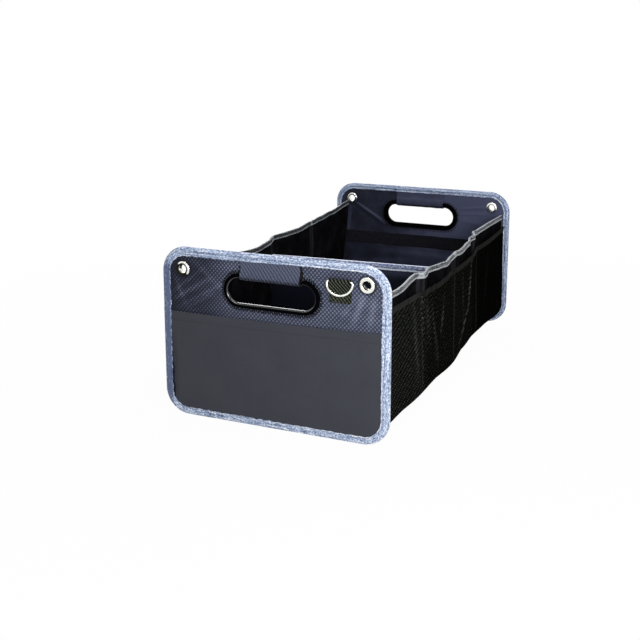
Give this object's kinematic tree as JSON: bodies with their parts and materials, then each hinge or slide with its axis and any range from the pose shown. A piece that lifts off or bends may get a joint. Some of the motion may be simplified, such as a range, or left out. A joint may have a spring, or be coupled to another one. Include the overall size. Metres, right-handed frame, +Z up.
{
  "type": "foldable boot organiser",
  "caption": "Open cloth box for a car boot with stiff bound end panels, hand holes, side mesh pockets and a divider.",
  "frame": {"origin": "on the floor, under the middle of the outer bounds", "axes": "+Z up, +Y along the box from the front panel, which carries the flat pocket and the D ring, to the rear panel, and +X to the right seen from the front"},
  "size_m": [0.3292, 0.6074, 0.23],
  "materials": {
    "dobby_cloth": "woven polyester with a fine dotted grid, matte",
    "lining_cloth": "plain woven polyester, satin",
    "pocket_cloth": "fine plain weave, matte",
    "wall_cloth": "plain woven polyester, matte",
    "grey_tape": "woven binding tape with a metallic sparkle",
    "black_mesh": "knitted mesh, matte",
    "black_elastic": "ribbed elastic, matte",
    "black_webbing": "ribbed webbing, matte",
    "loop_tape": "looped pile, matte",
    "stiffener_board": "plain board, covered with cloth",
    "black_moulding": "moulded, glossy",
    "nickel_steel": "nickel plated, bright"
  },
  "bodies": {
    "bag": {"front_board": "stiffener_board", "front_outer_cover": "dobby_cloth", "front_lining": "lining_cloth", "front_binding": "grey_tape", "front_handle_rim": "black_moulding", "front_handle_rim_back": "black_moulding", "front_handle_grip": "dobby_cloth", "front_loop_tape": "loop_tape", "front_eyelet_left": "nickel_steel", "front_eyelet_washer_left": "nickel_steel", "front_eyelet_right": "nickel_steel", "front_eyelet_washer_right": "nickel_steel", "rear_board": "stiffener_board", "rear_outer_cover": "dobby_cloth", "rear_lining": "lining_cloth", "rear_binding": "grey_tape", "rear_handle_rim": "black_moulding", "rear_handle_rim_back": "black_moulding", "rear_handle_grip": "dobby_cloth", "rear_loop_tape": "loop_tape", "rear_eyelet_left": "nickel_steel", "rear_eyelet_washer_left": "nickel_steel", "rear_eyelet_right": "nickel_steel", "rear_eyelet_washer_right": "nickel_steel", "front_pocket": "pocket_cloth", "d_ring_tab": "black_webbing", "bottom_cloth": "wall_cloth", "base_insert_under_cloth": "lining_cloth", "base_board_1": "stiffener_board", "base_board_2": "stiffener_board", "base_board_3": "stiffener_board", "base_board_4": "stiffener_board", "base_insert_top_cloth": "lining_cloth", "divider_board": "stiffener_board", "divider_front_cloth": "lining_cloth", "divider_rear_cloth": "lining_cloth", "divider_edging": "grey_tape", "right_wall": "wall_cloth", "right_wall_edging": "grey_tape", "right_mesh_pockets": "black_mesh", "right_pocket_elastic": "black_elastic", "left_wall": "wall_cloth", "left_wall_edging": "grey_tape", "left_mesh_pockets": "black_mesh", "left_pocket_elastic": "black_elastic"},
    "ring": {"d_ring": "nickel_steel"}
  },
  "joints": [
    {"name": "d_ring_swing", "type": "hinge", "parent": "bag", "child": "ring", "pos_m": [0.095, -0.29841, 0.207], "axis": [-1, 0, 0], "range_deg": [0, 150]}
  ]
}
